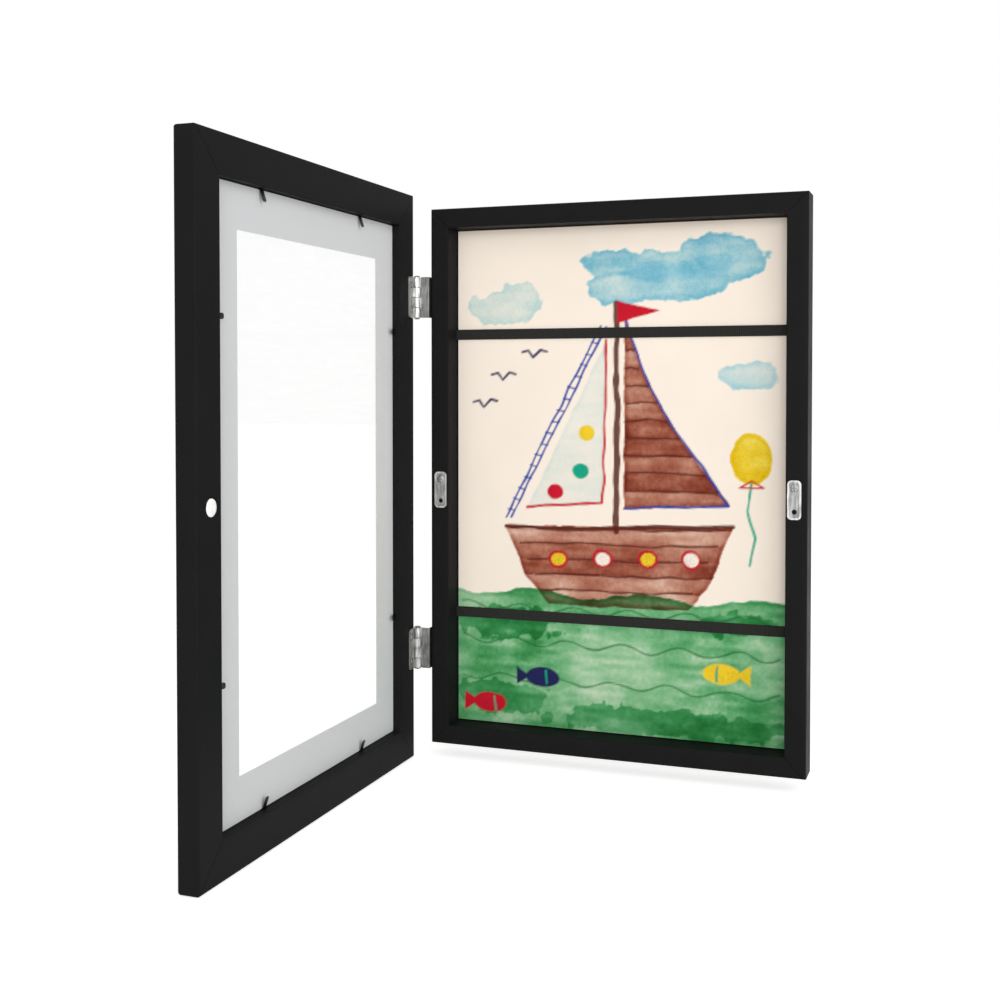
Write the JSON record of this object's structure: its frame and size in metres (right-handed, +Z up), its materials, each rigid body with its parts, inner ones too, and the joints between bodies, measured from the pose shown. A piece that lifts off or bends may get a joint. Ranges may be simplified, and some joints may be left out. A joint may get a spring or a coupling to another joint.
{
  "type": "front-opening picture frame",
  "caption": "Front-opening wall frame for children's paintings: shallow black box with elastic bands over the sheets, and a glazed, matted, magnet-held hinged door.",
  "frame": {"origin": "middle of the back board's rear face, which is flush with the box's rear and lies against the wall", "axes": "+Z up along the tall side, +Y out of the rear towards the wall, +X to the right seen from the front; the front faces -Y and the door stands open at 90 degrees"},
  "size_m": [0.2497, 0.2657, 0.3466],
  "materials": {
    "black_lacquer": "matt black lacquered wood",
    "hardboard": "brown hardboard",
    "paper": "painting paper",
    "mat_board": "pale grey mat board",
    "elastic": "woven black elastic",
    "acrylic": "clear polished sheet",
    "nickel_steel": "bright nickel-plated steel",
    "dark_steel": "dark spring steel",
    "magnet_nickel": "nickel-plated magnet"
  },
  "bodies": {
    "box": {"artwork_sheet": "paper", "back_board": "hardboard", "board_nail_bottom": "nickel_steel", "board_nail_left": "nickel_steel", "board_nail_right": "nickel_steel", "board_nail_top": "nickel_steel", "box_rail_bottom": "black_lacquer", "box_rail_top": "black_lacquer", "box_stile_left": "black_lacquer", "box_stile_right": "black_lacquer", "box_wedge_nail_bottom_left": "nickel_steel", "box_wedge_nail_bottom_right": "nickel_steel", "box_wedge_nail_top_left": "nickel_steel", "box_wedge_nail_top_right": "nickel_steel", "elastic_band_lower": "elastic", "elastic_band_upper": "elastic", "hanger_landscape": "nickel_steel", "hanger_landscape_nail_end": "nickel_steel", "hanger_landscape_nail_start": "nickel_steel", "hanger_portrait": "nickel_steel", "hanger_portrait_nail_end": "nickel_steel", "hanger_portrait_nail_start": "nickel_steel", "hinge_lower_box_leaf": "nickel_steel", "hinge_lower_box_screw_lower": "nickel_steel", "hinge_lower_box_screw_upper": "nickel_steel", "hinge_lower_pin": "nickel_steel", "hinge_upper_box_leaf": "nickel_steel", "hinge_upper_box_screw_lower": "nickel_steel", "hinge_upper_box_screw_upper": "nickel_steel", "hinge_upper_pin": "nickel_steel", "paper_stack": "paper", "strike_plate_left": "nickel_steel", "strike_plate_left_screw": "nickel_steel", "strike_plate_right": "nickel_steel", "strike_plate_right_screw": "nickel_steel"},
    "door": {"door_rail_bottom": "black_lacquer", "door_rail_top": "black_lacquer", "door_stile_free": "black_lacquer", "door_stile_hinge": "black_lacquer", "door_wedge_nail_bottom_left": "nickel_steel", "door_wedge_nail_bottom_right": "nickel_steel", "door_wedge_nail_top_left": "nickel_steel", "door_wedge_nail_top_right": "nickel_steel", "glazing": "acrylic", "hinge_lower_door_leaf": "nickel_steel", "hinge_lower_door_screw_lower": "nickel_steel", "hinge_lower_door_screw_upper": "nickel_steel", "hinge_upper_door_leaf": "nickel_steel", "hinge_upper_door_screw_lower": "nickel_steel", "hinge_upper_door_screw_upper": "nickel_steel", "magnet": "magnet_nickel", "mat_board": "mat_board"},
    "tab_bottom_free_side": {"tab_bottom_free_side": "dark_steel"},
    "tab_bottom_hinge_side": {"tab_bottom_hinge_side": "dark_steel"},
    "tab_free_lower": {"tab_free_lower": "dark_steel"},
    "tab_free_upper": {"tab_free_upper": "dark_steel"},
    "tab_hinge_lower": {"tab_hinge_lower": "dark_steel"},
    "tab_hinge_upper": {"tab_hinge_upper": "dark_steel"},
    "tab_top_free_side": {"tab_top_free_side": "dark_steel"},
    "tab_top_hinge_side": {"tab_top_hinge_side": "dark_steel"}
  },
  "joints": [
    {"name": "door_hinge", "type": "hinge", "parent": "box", "child": "door", "pos_m": [-0.12275, -0.02175, 0], "axis": [0, 0, -1], "range_deg": [-90, 90]},
    {"name": "tab_bottom_free_side_bend", "type": "hinge", "parent": "door", "child": "tab_bottom_free_side", "pos_m": [-0.12785, -0.19936, -0.15295], "axis": [0, 1, 0], "range_deg": [-18, 50]},
    {"name": "tab_bottom_hinge_side_bend", "type": "hinge", "parent": "door", "child": "tab_bottom_hinge_side", "pos_m": [-0.12785, -0.09084, -0.15295], "axis": [0, 1, 0], "range_deg": [-18, 50]},
    {"name": "tab_free_lower_bend", "type": "hinge", "parent": "door", "child": "tab_free_lower", "pos_m": [-0.12785, -0.24345, -0.08316], "axis": [0, 0, -1], "range_deg": [-18, 50]},
    {"name": "tab_free_upper_bend", "type": "hinge", "parent": "door", "child": "tab_free_upper", "pos_m": [-0.12785, -0.24345, 0.08905], "axis": [0, 0, -1], "range_deg": [-18, 50]},
    {"name": "tab_hinge_lower_bend", "type": "hinge", "parent": "door", "child": "tab_hinge_lower", "pos_m": [-0.12785, -0.04555, -0.08316], "axis": [0, 0, 1], "range_deg": [-18, 50]},
    {"name": "tab_hinge_upper_bend", "type": "hinge", "parent": "door", "child": "tab_hinge_upper", "pos_m": [-0.12785, -0.04555, 0.08905], "axis": [0, 0, 1], "range_deg": [-18, 50]},
    {"name": "tab_top_free_side_bend", "type": "hinge", "parent": "door", "child": "tab_top_free_side", "pos_m": [-0.12785, -0.19936, 0.15295], "axis": [0, -1, 0], "range_deg": [-18, 50]},
    {"name": "tab_top_hinge_side_bend", "type": "hinge", "parent": "door", "child": "tab_top_hinge_side", "pos_m": [-0.12785, -0.09084, 0.15295], "axis": [0, -1, 0], "range_deg": [-18, 50]}
  ]
}
